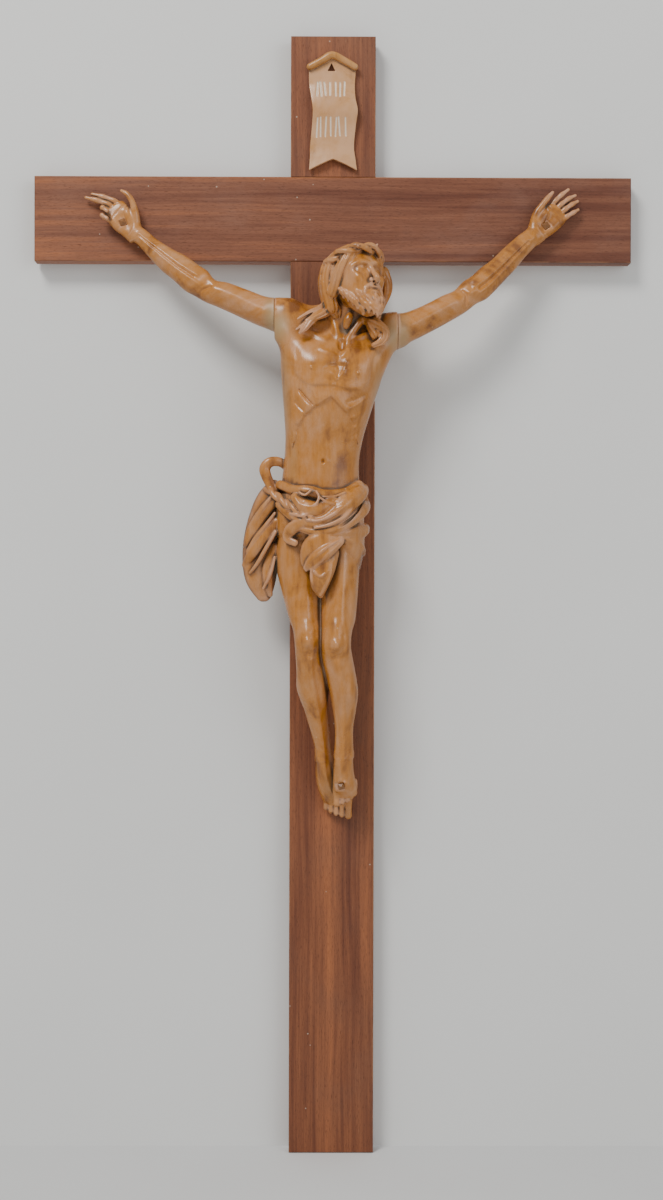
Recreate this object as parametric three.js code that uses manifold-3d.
// A carved wooden crucifix: a half-lapped cross of two boards, with a carved figure whose arms are
// separate carvings, a title scroll above it and three nails. Millimetres, +Z up, the front facing -Y.
// The origin is on the flat back of the cross, at the middle of the crossing.
// Points are written [x, out, z]: out is the distance in front of the flat back of the cross.
import * as THREE from "three";
import { mergeVertices } from "three/addons/utils/BufferGeometryUtils.js";
import Module from "manifold-3d";

const wasm = await Module();
wasm.setup();

// The cross: two boards of one section.
const BOARD_WIDTH = 89;
const BOARD_THICK = 19;
const TOP = 192; // top end above the crossing's middle
const BOTTOM = -983; // lower end
const ARM_SPAN = 627; // length of the crossbar
const EDGE = 1; // small bevel round the boards
const GAP = 0.3; // clearance between pieces that touch
const FACE = BOARD_THICK + GAP; // where a piece that rests on the cross begins

const OUT = new THREE.Vector3(0, -1, 0);
const point = ([x, out, z]) => new THREE.Vector3(x, -out, z);

// Meshes as solids, joined and cut.
function solid(geometry) {
  const bare = new THREE.BufferGeometry().setAttribute("position", geometry.getAttribute("position"));
  if (geometry.index) bare.setIndex(geometry.index);
  const merged = mergeVertices(bare, 1e-4);
  const triVerts = new Uint32Array(merged.index.array);
  const vertProperties = merged.getAttribute("position").array;
  const made = new wasm.Manifold(new wasm.Mesh({ numProp: 3, vertProperties, triVerts }));
  if (made.volume() > 0) return made;
  for (let i = 0; i < triVerts.length; i += 3) {
    [triVerts[i + 1], triVerts[i + 2]] = [triVerts[i + 2], triVerts[i + 1]];
  }
  return new wasm.Manifold(new wasm.Mesh({ numProp: 3, vertProperties, triVerts }));
}

const join = (solids) => solids.reduce((all, one) => all.add(one));

// The outer skin of a solid, without the pockets sealed inside it, as a faceted geometry.
function geometryOf(made) {
  const mesh = made.getMesh();
  const corner = (i) => new THREE.Vector3().fromArray(mesh.vertProperties, mesh.triVerts[i] * mesh.numProp);
  const group = Array.from({ length: mesh.numVert }, (_, i) => i);
  const leader = (v) => {
    while (group[v] !== v) v = group[v] = group[group[v]];
    return v;
  };
  for (let i = 0; i < mesh.triVerts.length; i++) {
    group[leader(mesh.triVerts[i])] = leader(mesh.triVerts[i - (i % 3)]);
  }
  const shells = new Map();
  for (let i = 0; i < mesh.triVerts.length; i += 3) {
    const key = leader(mesh.triVerts[i]);
    const shell = shells.get(key) ?? { volume: 0, points: [] };
    const [a, b, c] = [corner(i), corner(i + 1), corner(i + 2)];
    shell.volume += a.dot(b.clone().cross(c)) / 6;
    shell.points.push(a, b, c);
    shells.set(key, shell);
  }
  const outer = [...shells.values()].reduce((best, shell) => (shell.volume > best.volume ? shell : best));
  const geometry = new THREE.BufferGeometry().setFromPoints(outer.points);
  geometry.computeVertexNormals();
  return geometry;
}

function block(low, high) {
  const box = new THREE.BoxGeometry(high[0] - low[0], high[1] - low[1], high[2] - low[2]);
  return solid(box.translate(...low.map((v, i) => (v + high[i]) / 2)));
}

// A smooth curve of rows through the rows given, with a few new rows in each step.
function smoothRows(rows, steps) {
  const made = [];
  for (let i = 0; i + 1 < rows.length; i++) {
    const [a, b, c, d] = [rows[Math.max(i - 1, 0)], rows[i], rows[i + 1], rows[Math.min(i + 2, rows.length - 1)]];
    for (let k = 0; k < steps; k++) {
      const t = k / steps;
      made.push(
        b.map((v, j) => {
          const lead = (c[j] - a[j]) / 2;
          const tail = (d[j] - b[j]) / 2;
          const rise = c[j] - v;
          return v + lead * t + (3 * rise - 2 * lead - tail) * t * t + (lead + tail - 2 * rise) * t * t * t;
        }),
      );
    }
  }
  made.push(rows[rows.length - 1]);
  return made;
}

// A closed skin over rings of equal point counts, each end closed with strips across its ring.
function skin(rings) {
  const sides = rings[0].length;
  const positions = rings.flat();
  const index = [];
  for (let j = 0; j < sides; j++) {
    const next = (j + 1) % sides;
    for (let i = 0; i + 1 < rings.length; i++) {
      const [a, b, c, d] = [i * sides + j, i * sides + next, (i + 1) * sides + j, (i + 1) * sides + next];
      const [rising, falling] = [positions[a].distanceTo(positions[d]), positions[b].distanceTo(positions[c])];
      index.push(...(rising < falling ? [a, b, d, a, d, c] : [a, b, c, b, d, c]));
    }
  }
  const end = (rings.length - 1) * sides;
  for (let low = 0, high = sides - 1; low + 1 < high; low++, high--) {
    index.push(low + 1, low, high, end + low, end + low + 1, end + high);
    if (low + 2 < high) {
      index.push(high - 1, low + 1, high, end + low + 1, end + high - 1, end + high);
    }
  }
  return solid(new THREE.BufferGeometry().setFromPoints(positions).setIndex(index));
}

// A frame with its origin, the way along a limb, the way across it and the way out to its front.
function frameAlong(from, to, front = OUT) {
  const origin = point(from);
  const along = point(to).sub(origin).normalize();
  const outward = front.clone().addScaledVector(along, -front.dot(along)).normalize();
  return { origin, along, outward, across: new THREE.Vector3().crossVectors(outward, along) };
}

const UPRIGHT_FRAME = {
  origin: new THREE.Vector3(),
  along: new THREE.Vector3(0, 0, 1),
  across: new THREE.Vector3(1, 0, 0),
  outward: OUT,
};

const inFrame = ({ origin, along, across, outward }, [s, w, n]) =>
  origin.clone().addScaledVector(along, s).addScaledVector(across, w).addScaledVector(outward, n);

// A limb or trunk as oval sections across a frame. Each row is
// [place along, middle across, half width, front, back].
function limb(frame, rows, { sides = 14, steps = 2, square = 2, relief = () => 0 } = {}) {
  const rings = smoothRows(rows, steps).map(([s, w, half, front, back]) => {
    const ring = [];
    for (let j = 0; j < sides; j++) {
      const angle = (2 * Math.PI * (j + 0.5)) / sides;
      const [c, d] = [Math.cos(angle), Math.sin(angle)].map((v) => Math.sign(v) * Math.abs(v) ** (2 / square));
      const width = w + half * c;
      const depth = (front + back) / 2 + ((front - back) / 2) * d;
      const lift = d > 0 ? relief(width, s) * d : 0;
      ring.push(inFrame(frame, [s, width, depth + lift]));
    }
    return ring;
  });
  return skin(rings);
}

// A rod of round or oval section along a smooth line of points [x, out, z, radius].
function rod(points, { sides = 6, steps = 2, flat = 1, frame = null } = {}) {
  const rows = smoothRows(points, steps);
  const places = rows.map(([a, b, c]) => (frame ? inFrame(frame, [a, b, c]) : point([a, b, c])));
  const rings = rows.map((row, i) => {
    const way = places[Math.min(i + 1, rows.length - 1)].clone().sub(places[Math.max(i - 1, 0)]).normalize();
    const front = frame ? frame.outward : OUT;
    let outward = front.clone().addScaledVector(way, -front.dot(way));
    if (outward.length() < 0.2) outward = new THREE.Vector3(0, 0, 1).addScaledVector(way, -way.z);
    outward.normalize();
    const across = new THREE.Vector3().crossVectors(outward, way);
    const ring = [];
    for (let j = 0; j < sides; j++) {
      const angle = (2 * Math.PI * (j + 0.5)) / sides;
      ring.push(
        places[i]
          .clone()
          .addScaledVector(across, row[3] * Math.cos(angle))
          .addScaledVector(outward, row[3] * flat * Math.sin(angle)),
      );
    }
    return ring;
  });
  return skin(rings);
}

// The cross. The boards are half-lapped at the crossing, the crossbar's half in front.
function board(low, high) {
  const shape = new THREE.Shape([
    new THREE.Vector2(low[0] + EDGE, low[1] + EDGE),
    new THREE.Vector2(high[0] - EDGE, low[1] + EDGE),
    new THREE.Vector2(high[0] - EDGE, high[1] - EDGE),
    new THREE.Vector2(low[0] + EDGE, high[1] - EDGE),
  ]);
  const extruded = new THREE.ExtrudeGeometry(shape, {
    depth: BOARD_THICK - 2 * EDGE,
    bevelEnabled: true,
    bevelThickness: EDGE,
    bevelSize: EDGE,
    bevelSegments: 1,
  });
  return solid(extruded.translate(0, 0, EDGE).rotateX(Math.PI / 2));
}

const half = BOARD_WIDTH / 2;
const lap = BOARD_THICK / 2;
const upright = board([-half, BOTTOM], [half, TOP]).subtract(
  block([-half - 1, -BOARD_THICK - 1, -half - GAP / 2], [half + 1, -lap + GAP / 2, half + GAP / 2]),
);
const crossbar = board([-ARM_SPAN / 2, -half], [ARM_SPAN / 2, half]).subtract(
  block([-half - GAP / 2, -lap - GAP / 2, -half - 1], [half + GAP / 2, 1, half + 1]),
);

// Low relief on the chest and belly: soft strokes [x, z] to [x, z], each with its reach and height.
function strokeRelief(strokes) {
  return (x, z) => {
    let lift = 0;
    for (const { line, reach, height } of strokes) {
      let nearest = Infinity;
      for (let i = 0; i + 1 < line.length; i++) {
        const [[ax, az], [bx, bz]] = [line[i], line[i + 1]];
        const length2 = (bx - ax) ** 2 + (bz - az) ** 2;
        const t = Math.min(1, Math.max(0, ((x - ax) * (bx - ax) + (z - az) * (bz - az)) / length2));
        nearest = Math.min(nearest, Math.hypot(x - ax - t * (bx - ax), z - az - t * (bz - az)));
      }
      lift += height * Math.exp(-((nearest / reach) ** 2));
    }
    return lift;
  };
}

const chestRelief = strokeRelief([
  { line: [[-34, -150], [-20, -168]], reach: 14, height: 4 }, // breast muscles
  { line: [[38, -154], [24, -171]], reach: 14, height: 4 },
  { line: [[4, -150], [1, -188]], reach: 5, height: -3 }, // breastbone
  { line: [[-42, -184], [-22, -191], [-3, -186], [20, -193], [36, -190]], reach: 5, height: -3 }, // under the breast
  { line: [[-34, -234], [-24, -210], [-3, -194], [13, -206], [24, -226]], reach: 6, height: -5 }, // rib arch
  { line: [[-40, -212], [-26, -203], [-12, -194]], reach: 5, height: 2.5 }, // ribs
  { line: [[35, -208], [20, -202], [8, -194]], reach: 5, height: 2.5 },
  { line: [[-10, -225], [-11, -285]], reach: 16, height: 3 }, // belly
]);

// The trunk, from the neck to the hips. Rows are [z, middle, half width, front, back].
const trunk = limb(
  UPRIGHT_FRAME,
  [
    [-300, -13, 41.5, 81, 22],
    [-279, -12.5, 40, 82, 27],
    [-258, -11.5, 38.5, 84, 31],
    [-236, -9, 39.5, 88, 31],
    [-215, -6.5, 43, 94, 29],
    [-195, -4, 47, 98, 27],
    [-175, -1.5, 51, 99, 26],
    [-155, 1, 54.5, 96, 26],
    [-138, 3.5, 53, 88, 27],
    [-122, 6, 46, 76, 33],
    [-108, 7, 30, 66, 42],
  ],
  { sides: 18, square: 2.3, relief: chestRelief },
);

// The neck, the collarbones and the muscles drawn up from the chest and back to the raised arms.
const neckFrame = frameAlong([5, 60, -138], [24, 74, -82]);
const neck = limb(
  neckFrame,
  [
    [-8, 0, 26, 18, -20],
    [8, 0, 21, 18, -18],
    [26, 0, 18, 17, -17],
    [44, 0, 17, 16, -17],
    [60, 0, 15, 14, -15],
  ],
  { sides: 10, steps: 1 },
);
const shoulderMuscles = [
  [[-24, 72, -180, 4], [-32, 74, -157, 12], [-46, 68, -127, 15], [-56, 62, -109, 14]],
  [[30, 72, -184, 4], [39, 74, -161, 11], [53, 68, -136, 13], [64, 62, -120, 13]],
  [[4, 60, -108, 15], [-22, 56, -112, 15], [-44, 56, -106, 15]],
  [[14, 60, -112, 15], [38, 56, -118, 14], [58, 56, -119, 14]],
  [[3, 84, -140, 3], [-12, 84, -135, 4], [-30, 78, -126, 4.5], [-48, 72, -116, 4]],
  [[11, 84, -141, 3], [24, 84, -136, 4], [40, 79, -130, 4.5], [56, 72, -124, 4]],
].map((rows) => rod(rows, { sides: 6, steps: 1 }));

// The legs, from inside the cloth to the ankle, in rows of the same kind.
const legRight = limb(
  UPRIGHT_FRAME,
  [
    [-318, -33, 20, 74, 24],
    [-345, -35, 23.5, 78, 21],
    [-369, -34.5, 23, 78, 26],
    [-415, -28.5, 17, 84, 43],
    [-429, -25.5, 15, 88, 50],
    [-438, -24.6, 14.4, 92, 53],
    [-447, -24, 14.2, 91, 55],
    [-457, -23.5, 14, 85, 53],
    [-475, -21, 15.6, 79, 46],
    [-490, -20, 16.6, 74, 40],
    [-502, -18.6, 14.5, 71, 38],
    [-518, -15.5, 11.8, 64, 37],
    [-552, -9.5, 8.4, 52, 33],
    [-566, -8.5, 8.2, 49, 30],
  ],
  { sides: 10, square: 2.1, steps: 1 },
);
const legLeft = limb(
  UPRIGHT_FRAME,
  [
    [-318, 7, 19, 76, 24],
    [-345, 8, 21, 80, 24],
    [-369, 7.8, 20, 83, 31],
    [-415, 6.2, 17.9, 91, 48],
    [-431, 4.2, 16, 96, 56],
    [-441, 3.6, 15.4, 100, 59],
    [-450, 3.8, 15.4, 99, 60],
    [-461, 5.4, 15.8, 92, 58],
    [-481, 9.5, 15.5, 87, 52],
    [-495, 12, 14.6, 84, 49],
    [-512, 12.6, 12, 78, 49],
    [-533, 12.3, 9.4, 73, 50],
    [-561, 12.3, 10.2, 69, 47],
  ],
  { sides: 10, square: 2.1, steps: 1 },
);

// The feet hang one over the other, the left in front, with the toes of both showing.
function foot(rows, toes) {
  const toeRods = toes.map(([x, out, z, drop, thick]) =>
    rod(
      [
        [x, out + 1, z + 7, thick],
        [x, out + 1, z - drop * 0.7, thick],
        [x, out - 1, z - drop, thick * 0.6],
      ],
      { sides: 4, steps: 1 },
    ),
  );
  return join([limb(UPRIGHT_FRAME, rows, { sides: 10, steps: 1 }), ...toeRods]);
}
const footRight = foot(
  [
    [-556, -9, 7.5, 50, 32],
    [-568, -8, 9, 51, 26],
    [-582, -6, 10.8, 47, 22],
    [-594, -2.5, 12.5, 42, 20],
    [-604, 2, 13.8, 37, 20],
    [-611, 5.5, 14, 33, 20],
    [-615, 7, 10, 30, 22],
  ],
  [
    [17.5, 27.5, -612, 15, 4],
    [10.8, 27, -612, 14, 3.2],
    [4.8, 26.5, -611, 13.5, 3.1],
    [-0.8, 26, -609, 13, 3],
    [-6, 25.5, -607, 12, 2.8],
  ],
);
const footLeft = foot(
  [
    [-556, 12.3, 9.4, 69, 50],
    [-566, 11.9, 9.8, 70, 46],
    [-578, 12.2, 10.6, 67, 43],
    [-590, 13.2, 12, 62, 41],
    [-598, 13.6, 12.4, 56, 39],
    [-603, 13.6, 11, 51, 39],
    [-605, 13.5, 7, 49, 40],
  ],
  [
    [5, 46.5, -600, 12, 3.7],
    [10.6, 46, -600, 10.5, 2.9],
    [15.6, 45.5, -599, 9.5, 2.8],
    [20, 45, -597, 8.5, 2.7],
    [24, 44.5, -594, 7.5, 2.5],
  ],
);

// The arms. Rows run along a line from the shoulder to the wrist, with the height across it.
const ARM_RIGHT = {
  frame: frameAlong([-46, 60, -107], [-208, 30, -19]),
  seam: -60,
  rows: [
    [-24, 3, 13, 16, -16],
    [0, 3, 18.5, 20, -20],
    [13, 5.5, 17.5, 18, -18],
    [28, 9.5, 15.2, 17, -15],
    [50, 11.5, 14.3, 17, -13],
    [70, 13.5, 13.6, 17, -11],
    [84, 16, 12.4, 15.5, -9.5],
    [96, 13.5, 14.4, 15.5, -9.5],
    [109, 12.5, 14.9, 15, -11],
    [125, 9.3, 14, 13.5, -11.5],
    [142, 7.5, 12.4, 11, -11],
    [162, 3.3, 9.8, 8.8, -8.8],
    [177, -1, 8.8, 7.4, -7.4],
    [188, -2.5, 8, 6.5, -7],
  ],
};
const ARM_LEFT = {
  frame: frameAlong([62, 60, -122], [212, 30, -15]),
  seam: 66,
  rows: [
    [-24, -2, 13, 16, -16],
    [-2, -2, 18.5, 19.5, -19.5],
    [8, -3.5, 17, 18, -18],
    [20, -7.5, 14.8, 17, -15],
    [40, -11, 13.8, 17, -13],
    [62, -13.5, 13.4, 17, -11],
    [75, -15, 12.4, 15.5, -9.5],
    [88, -13.5, 13.2, 15.5, -9.5],
    [100, -14.3, 14, 15, -11],
    [114, -12.3, 13.8, 13.5, -11.5],
    [129, -10.5, 12.5, 11.5, -11.5],
    [144, -7.7, 12.2, 10.5, -10.5],
    [159, -4.6, 11, 9, -9],
    [171, -2.8, 10.3, 8, -8],
    [188, -2, 8.4, 6.5, -7],
  ],
};
const armOf = ({ frame, rows }) => limb(frame, rows, { sides: 10, steps: 1, square: 2.1 });

// The hands, palm out. Rows and fingers run along the hand, with the thumb's side across.
function hand({ frame, mirror, palm, thumb, fingers }) {
  const sided = (rows) => rows.map(([s, w, ...rest]) => [s, w * mirror, ...rest]);
  return join([
    limb(frame, sided(palm), { sides: 10, steps: 1, square: 2.4 }),
    rod(sided(thumb), { frame, sides: 5, steps: 1 }),
    ...fingers.map((finger) => rod(sided(finger), { frame, sides: 5, steps: 1, flat: 0.9 })),
  ]);
}
const handRight = hand({
  frame: frameAlong([-208, 29, -19], [-229, 27, 9]),
  mirror: -1,
  palm: [
    [-5, 0, 8, 5.5, -6],
    [6, 0, 10, 6, -7],
    [16, 0, 13, 6.5, -7],
    [27, 0, 13.5, 5.5, -6],
    [35, 0, 12, 4, -5],
    [38, 0, 8, 2, -3],
  ],
  thumb: [
    [6, 8, 1, 4.6],
    [16, 14, 3, 4.2],
    [27, 19, 4.5, 3.1],
    [37, 19.5, 4, 2.8],
    [44, 17, 3, 1.6],
  ],
  fingers: [
    [[30, 8.5, 0, 3.2], [41, 4.5, 0.5, 2.9], [52, -2.5, 0, 2.7], [61, -9.5, -1, 1.6]],
    [[30, 2.5, 0, 3.3], [42, -3, 1, 3], [53, -10, 0.5, 2.8], [62, -17, -0.5, 1.6]],
    [[30, -4, 0, 3.2], [38, -8, 3, 3], [40, -9.5, 8, 2.8], [34, -8, 9.5, 2]],
    [[26, -10, 0, 3], [33, -14, 3, 2.8], [34, -14.5, 7.5, 2.6], [28, -12.5, 9, 1.9]],
  ],
});
const handLeft = hand({
  frame: frameAlong([212, 29, -17], [235, 27, 7]),
  mirror: 1,
  palm: [
    [-6, 0, 9, 5.5, -6],
    [6, 0, 11, 6, -7],
    [16, 0, 13, 6.5, -7],
    [27, 0, 13.5, 5.5, -6],
    [34, 0, 12, 4, -5],
    [37, 0, 8, 2, -3],
  ],
  thumb: [
    [4, 8, 1, 4.6],
    [15, 14, 3, 4.2],
    [25, 16, 4.5, 3.2],
    [35, 17, 4.5, 2.8],
    [43, 17.5, 4, 1.6],
  ],
  fingers: [
    [[30, 9, 0, 3.2], [40, 9.5, 1, 2.9], [49, 9, 1, 2.7], [58, 8, 0, 1.6]],
    [[30, 3, 0, 3.3], [41, 2.5, 1, 3], [51, 1, 0.5, 2.8], [59, -1.5, -1, 1.6]],
    [[30, -3.5, 0, 3.2], [40, -4, 1.5, 3], [49, -5.5, 1, 2.7], [56, -7.5, 0, 1.6]],
    [[27, -9.5, 0, 3], [36, -10.5, 1.5, 2.7], [44, -12.5, 1, 2.5], [50, -14, 0, 1.5]],
  ],
});

// Nails: a square pyramid head on a short shank let into the wood.
function nail([x, out, z], size, turn, grown = 0) {
  const side = size + 2 * grown;
  const head = new THREE.LatheGeometry(
    [
      new THREE.Vector2(0, -5 - grown),
      new THREE.Vector2(side * 0.42, -5 - grown),
      new THREE.Vector2(side * 0.42, -grown),
      new THREE.Vector2(side / Math.SQRT2, -grown),
      new THREE.Vector2(side / Math.SQRT2, 1 + grown),
      new THREE.Vector2(0, 3.4 + grown),
    ],
    4,
  );
  return solid(head.rotateX(Math.PI).rotateY(turn).translate(x, -out, z));
}
const NAILS = {
  nail_right_hand: { at: [-219, 33.5, -7], size: 6.5, turn: 0.35 },
  nail_left_hand: { at: [222, 33.5, -9], size: 6.5, turn: 0.2 },
  nail_feet: { at: [9.5, 61.5, -591], size: 6.5, turn: 0.5 },
};
const nailOf = ({ at, size, turn }, grown) => nail(at, size, turn, grown);

// The head turns to its left and looks up. Its rows run from the chin to the crown.
const HEAD_CENTRE = [23, 82, -80];
const HEAD_YAW = 36;
const HEAD_BACK = 18;
const HEAD_LEAN = -2;
const degrees = THREE.MathUtils.degToRad;
const HEAD_TURN = new THREE.Matrix4()
  .makeRotationZ(degrees(HEAD_YAW))
  .multiply(new THREE.Matrix4().makeRotationX(degrees(-HEAD_BACK)))
  .multiply(new THREE.Matrix4().makeRotationY(degrees(-HEAD_LEAN)));
const headFrame = {
  origin: point(HEAD_CENTRE),
  along: new THREE.Vector3(0, 0, 1).transformDirection(HEAD_TURN),
  across: new THREE.Vector3(1, 0, 0).transformDirection(HEAD_TURN),
  outward: new THREE.Vector3(0, -1, 0).transformDirection(HEAD_TURN),
};
const skull = limb(
  headFrame,
  [
    [-39, 0, 7, 22, 6],
    [-34, 0, 12, 25, 1],
    [-27, 0, 16, 27, -6],
    [-17, 0, 19.5, 27.5, -16],
    [-6, 0, 22.5, 27, -24],
    [6, 0, 24, 27.5, -29],
    [19, 0, 24.5, 27, -31],
    [31, 0, 21, 21, -26],
    [38, 0, 12, 10, -15],
  ],
  { sides: 14, square: 2.1, steps: 1 },
);
const mirrored = (rows) => [rows, rows.map(([s, w, n, r]) => [s, -w, n, r])];
const faceRod = (rows) => rod(rows, { frame: headFrame, sides: 4, steps: 1 });
const face = join([
  faceRod([[6, 0, 26, 3], [-3, 0, 30.5, 2.8], [-8.5, 0, 34, 3.6], [-11, 0, 30, 3.4]]), // nose
  ...mirrored([[9, 3, 27, 2], [10.5, 9, 26, 2.4], [8, 17, 20, 2]]).map(faceRod), // brows
  ...mirrored([[3.5, 5, 25.5, 1.8], [3, 9.5, 25, 3], [3.5, 14, 22, 1.8]]).map(faceRod), // lids
  ...mirrored([[-3, 17, 17, 4], [-8, 14, 21, 5], [-14, 10, 23, 3]]).map(faceRod), // cheeks
  ...mirrored([[5, 23.5, -4, 2.5], [0, 25.5, -5, 4], [-8, 23.5, -3, 2.5]]).map(faceRod), // ears
  faceRod([[-18.5, -6.5, 25, 1], [-18, 0, 29, 1.9], [-18.5, 6.5, 25, 1]]), // lips
  faceRod([[-22, -5.5, 25, 1], [-22.5, 0, 28.6, 2.1], [-22, 5.5, 25, 1]]),
]);

// Beard and moustache: locks that run down and forward from the jaw to a short fork at the chin.
const beard = [
  ...mirrored([[-12, 21.5, 1, 3], [-22, 18.5, 6, 4.6], [-31, 15, 11, 3]]),
  ...mirrored([[-22, 16.5, 12, 3.4], [-31, 13, 17, 4.6], [-39, 9.5, 19, 2.6]]),
  ...mirrored([[-27, 8.5, 22, 3.4], [-36, 6.5, 24, 5], [-46, 4, 23, 2.4]]),
  ...mirrored([[-14, 1.5, 29, 2], [-16.5, 7, 27.5, 2.4], [-23, 11, 24, 1.8]]),
].map(faceRod);

// Hair parted over the brow and swept back in thick locks under the crown.
const lock = (rows, options = {}) => rod(rows, { sides: 5, steps: 1, ...options });
const hairOnHead = [
  ...mirrored([[30, 3, 17, 6], [22, 15, 18, 6.5], [8, 23, 8, 6.5], [-9, 25, -8, 6]]),
  ...mirrored([[34, 4, 4, 8], [24, 20, 0, 8], [4, 26, -11, 8], [-20, 21, -18, 7]]),
  ...mirrored([[34, 3, -12, 9], [20, 13, -25, 10], [0, 15, -27, 10], [-22, 13, -23, 9]]),
].map((rows) => lock(rows, { frame: headFrame }));
const locks = [
  [[2, 72, -70, 8], [0, 68, -84, 7.5], [-3, 70, -97, 7], [-10, 77, -106, 6.5], [-21, 84, -113, 5.5], [-33, 88, -124, 2.5]],
  [[6, 76, -86, 5], [2, 76, -98, 5], [-5, 82, -107, 4.5], [-15, 88, -113, 4], [-27, 92, -118, 2]],
  [[-14, 84, -110, 5], [-22, 89, -117, 4.5], [-29, 92, -126, 3.5], [-34, 92, -131, 1.5]],
  [[50, 66, -66, 8], [52, 64, -80, 9], [47, 66, -95, 8], [41, 74, -109, 8], [40, 84, -121, 7], [43, 90, -132, 6]],
  [[34, 82, -116, 6], [43, 89, -121, 6], [52, 92, -130, 5], [49, 94, -139, 4.5], [41, 93, -143, 3]],
].map((rows) => lock(rows));

// The crown of thorns: a ring of two stems twisted together, so its section is long and turns.
const CROWN_STEPS = 30;
const CROWN_TURNS = 5;
const CROWN_SIDES = 6;
const CROWN_SECTION = [6, 3.2]; // half sizes of the section
function crownRing() {
  const centres = [];
  for (let i = 0; i < CROWN_STEPS; i++) {
    const round = (2 * Math.PI * i) / CROWN_STEPS;
    centres.push(inFrame(headFrame, [22 + 4 * Math.cos(round), 27 * Math.sin(round), 30 * Math.cos(round) - 1]));
  }
  const rings = centres.map((centre, i) => {
    const next = centres[(i + 1) % CROWN_STEPS];
    const way = next.clone().sub(centres[(i + CROWN_STEPS - 1) % CROWN_STEPS]).normalize();
    const up = headFrame.along.clone().addScaledVector(way, -headFrame.along.dot(way)).normalize();
    const across = new THREE.Vector3().crossVectors(up, way);
    const turn = (2 * Math.PI * CROWN_TURNS * i) / CROWN_STEPS;
    return Array.from({ length: CROWN_SIDES }, (_, j) => {
      const angle = (2 * Math.PI * j) / CROWN_SIDES;
      const [long, short] = [CROWN_SECTION[0] * Math.cos(angle), CROWN_SECTION[1] * Math.sin(angle)];
      return centre
        .clone()
        .addScaledVector(up, long * Math.cos(turn) - short * Math.sin(turn))
        .addScaledVector(across, long * Math.sin(turn) + short * Math.cos(turn));
    });
  });
  const index = [];
  for (let i = 0; i < CROWN_STEPS; i++) {
    const next = (i + 1) % CROWN_STEPS;
    for (let j = 0; j < CROWN_SIDES; j++) {
      const k = (j + 1) % CROWN_SIDES;
      const [a, b, c, d] = [[i, j], [i, k], [next, j], [next, k]].map(([ring, side]) => ring * CROWN_SIDES + side);
      index.push(a, b, c, b, d, c);
    }
  }
  return solid(new THREE.BufferGeometry().setFromPoints(rings.flat()).setIndex(index));
}
const crown = [crownRing()];

const head = join([skull, face, ...beard, ...hairOnHead, ...locks, ...crown]);

// The loincloth: a wrap round the hips, rolls of folds across it, a flap in front,
// and a long end that hangs from the knot at the right hip.
const wrap = limb(
  UPRIGHT_FRAME,
  [
    [-339, -14, 40, 80, 21],
    [-331, -14, 45, 84, 18],
    [-318, -13.5, 46, 86, 18],
    [-302, -13.5, 45, 87, 19],
    [-291, -13, 42.5, 85, 23],
  ],
  { sides: 14, steps: 1, square: 2.3 },
);
const fold = (rows, options = {}) => rod(rows, { sides: 5, steps: 1, flat: 0.8, ...options });
const folds = [
  // The broad roll from the left hip down across the belly, and the ones under it.
  [[29, 52, -284, 8], [26, 72, -290, 10], [14, 87, -301, 11], [-4, 91, -316, 10], [-22, 90, -321, 8], [-40, 84, -314, 6], [-54, 72, -302, 5]],
  [[31, 46, -300, 8], [29, 68, -306, 9], [18, 84, -316, 9], [2, 92, -327, 7], [-16, 91, -330, 6], [-32, 88, -327, 4]],
  [[30, 44, -326, 9], [28, 64, -328, 9], [18, 82, -330, 7], [4, 90, -333, 5]],
  [[26, 40, -350, 9], [25, 62, -349, 9], [20, 78, -341, 7], [8, 88, -335, 4]],
  // The bunched upper edge and the cord that holds it.
  [[27, 68, -282, 5], [12, 84, -291, 5], [-8, 88, -294, 6], [-24, 87, -290, 6], [-40, 80, -288, 5], [-54, 66, -282, 5]],
  [[0, 90, -299, 6], [-14, 93, -308, 8], [-27, 91, -306, 8], [-38, 86, -296, 5]],
  [[-20, 94, -318, 3.6], [-34, 89, -312, 4.4], [-47, 81, -303, 5], [-58, 70, -293, 5], [-66, 60, -286, 4.6]],
  // Round the back of the hips.
  [[30, 40, -296, 8], [10, 26, -304, 8], [-14, 24, -306, 8], [-40, 27, -302, 8], [-56, 42, -294, 6]],
].map((rows) => fold(rows));
const flap = [
  [[8, 86, -333, 8], [-8, 89, -338, 12], [-20, 88, -347, 12], [-26, 86, -360, 7], [-25, 84, -368, 3]],
  [[6, 90, -340, 6], [-6, 94, -350, 8], [-18, 93, -360, 8], [-26, 89, -367, 4]],
  [[-2, 87, -352, 9], [-9, 90, -368, 12], [-13, 89, -382, 10], [-12, 86, -395, 3]],
  [[-32, 90, -322, 6], [-42, 84, -328, 7], [-46, 80, -337, 5], [-38, 84, -342, 4]],
].map((rows) => fold(rows, { flat: 0.65 }));
const hangingEnd = [
  [[-60, 56, -284, 8], [-66, 54, -300, 14], [-72, 50, -325, 17], [-74, 48, -350, 19], [-74, 46, -374, 17], [-71, 45, -393, 9]],
  [[-60, 64, -298, 6], [-70, 62, -310, 7], [-81, 58, -328, 7], [-88, 54, -342, 4]],
  [[-58, 63, -320, 6], [-70, 61, -335, 7], [-82, 57, -352, 6], [-91, 49, -364, 2.5]],
  [[-60, 57, -346, 5], [-66, 56, -364, 6], [-66, 54, -380, 5], [-64, 50, -394, 3]],
].map((rows, i) => fold(rows, { flat: i ? 0.75 : 0.45 }));
const knotLoops = [
  [[-60, 64, -288, 5], [-67, 62, -276, 5.5], [-70, 60, -265, 6], [-64, 60, -258, 5.5], [-54, 58, -258, 5], [-46, 54, -264, 4]],
].map((rows) => fold(rows));
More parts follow.
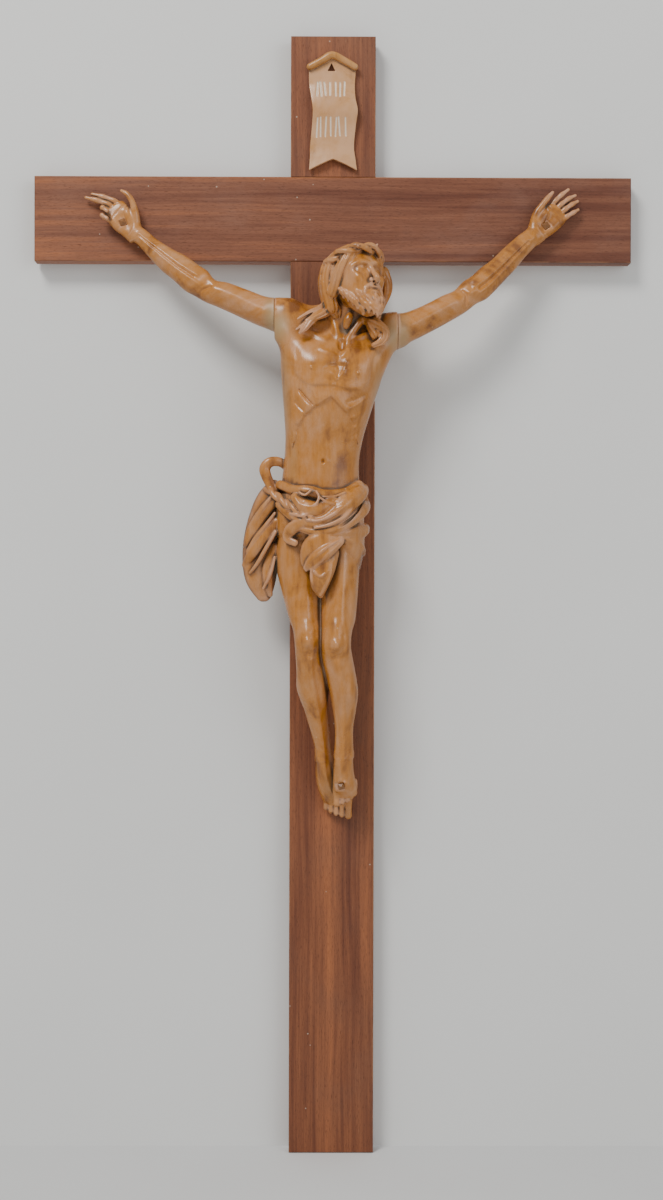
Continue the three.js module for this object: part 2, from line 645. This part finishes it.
const hipCover = limb(
  UPRIGHT_FRAME,
  [
    [-368, 24, 5, 62, 38],
    [-358, 20, 11, 76, 28],
    [-344, 15, 18, 84, 23],
    [-328, 11, 22, 87, 20],
  ],
  { sides: 10, steps: 1, square: 2.2 },
);
const cloth = join([wrap, hipCover, ...folds, ...flap, ...hangingEnd, ...knotLoops]);

// The body is carved in one, flat where it lies on the cross, with the arms joined on at the shoulders.
const behind = block([-400, -FACE, -700], [400, 50, 100]);
const SEAM_BOTTOM = -190; // below both armpits
const seamCut = ({ seam }, keepArm) => {
  const side = Math.sign(seam);
  const edge = Math.abs(seam) + (keepArm ? GAP / 2 : -GAP / 2);
  const [near, far] = keepArm ? [-500, edge] : [edge, 500];
  const [low, high] = side > 0 ? [near, far] : [-far, -near];
  return block([low, -200, SEAM_BOTTOM], [high, 60, 200]);
};
const body = join([trunk, neck, ...shoulderMuscles, head, legRight, legLeft, footRight, footLeft, cloth, armOf(ARM_RIGHT), armOf(ARM_LEFT)]);
const corpus = body
  .subtract(seamCut(ARM_RIGHT, false))
  .subtract(seamCut(ARM_LEFT, false))
  .subtract(behind)
  .subtract(nailOf(NAILS.nail_feet, GAP));
const armWith = (arm, carvedHand, nailKey) =>
  armOf(arm).add(carvedHand).subtract(seamCut(arm, true)).subtract(behind).subtract(nailOf(NAILS[nailKey], GAP));

// The title scroll: a strip that waves in and out, with a forked foot, a rolled edge along its
// gabled top and a three-sided hole under the gable. Rows are [z, middle, half width, rise].
const SCROLL_ROWS = [
  [50, -0.2, 25.2, 7],
  [62, -0.6, 24, 6],
  [76, -1.2, 23, 5],
  [97, 0.7, 23, 7],
  [112, 2, 23.6, 10],
  [125, 0, 23.2, 9],
  [140, -1.4, 24, 5],
  [156, -1, 24.6, 5],
];
const SCROLL_THICK = 4.5;
const SCROLL_HOLLOW = 1.2; // how far the edges lie behind the middle
const FORK = 13; // rise of the notch in the foot
const GABLE = 13; // rise of the middle of the top edge
const HOLE_HALF = 4;
function scrollSheet() {
  const columns = 4;
  const [foot, top] = [SCROLL_ROWS[0][0], SCROLL_ROWS[SCROLL_ROWS.length - 1][0]];
  const rings = smoothRows(SCROLL_ROWS, 2).map(([z, middle, width, rise]) => {
    const share = (z - foot) / (top - foot);
    const front = [];
    const back = [];
    for (let j = 0; j <= columns; j++) {
      const across = (2 * j) / columns - 1;
      const inward = 1 - Math.abs(across);
      const up = z + inward * (FORK * (1 - share) ** 6 + GABLE * share ** 6);
      const x = middle + width * across;
      front.push(point([x, BOARD_THICK + rise - SCROLL_HOLLOW * across ** 2, up]));
      back.unshift(point([x, BOARD_THICK + Math.max(GAP, rise - SCROLL_THICK), up]));
    }
    return [...front, ...back];
  });
  return skin(rings);
}
const rolledEdge = rod(
  [
    [-24.5, 24.5, 158, 3.6],
    [-12, 25, 164.5, 3.8],
    [-1.5, 25, 170, 4],
    [11, 25, 164.5, 3.8],
    [22.5, 24.5, 158, 3.6],
  ],
  { sides: 6, steps: 1 },
);
const holeShape = new THREE.Shape([
  new THREE.Vector2(-HOLE_HALF - 2, 154),
  new THREE.Vector2(HOLE_HALF - 2, 154),
  new THREE.Vector2(-2, 162),
]);
const hole = solid(new THREE.ExtrudeGeometry(holeShape, { depth: 60, bevelEnabled: false }).rotateX(Math.PI / 2));
const titleScroll = scrollSheet().subtract(hole).add(rolledEdge).subtract(behind);

// The parts, each with its wood.
const WALNUT = new THREE.MeshStandardMaterial({ color: 0x6b3a22, roughness: 0.45, metalness: 0 });
const LIMEWOOD = new THREE.MeshStandardMaterial({ color: 0xb07a3c, roughness: 0.4, metalness: 0 });
const DARK_PEG = new THREE.MeshStandardMaterial({ color: 0x6a4520, roughness: 0.45, metalness: 0 });

const crucifix = new THREE.Group();
function place(name, made, material) {
  const mesh = new THREE.Mesh(geometryOf(made), material);
  mesh.name = name;
  crucifix.add(mesh);
}
place("upright", upright, WALNUT);
place("crossbar", crossbar, WALNUT);
place("corpus", corpus, LIMEWOOD);
place("arm_right", armWith(ARM_RIGHT, handRight, "nail_right_hand"), LIMEWOOD);
place("arm_left", armWith(ARM_LEFT, handLeft, "nail_left_hand"), LIMEWOOD);
place("title_scroll", titleScroll, LIMEWOOD);
for (const [name, one] of Object.entries(NAILS)) place(name, nailOf(one, 0), DARK_PEG);

export default crucifix;
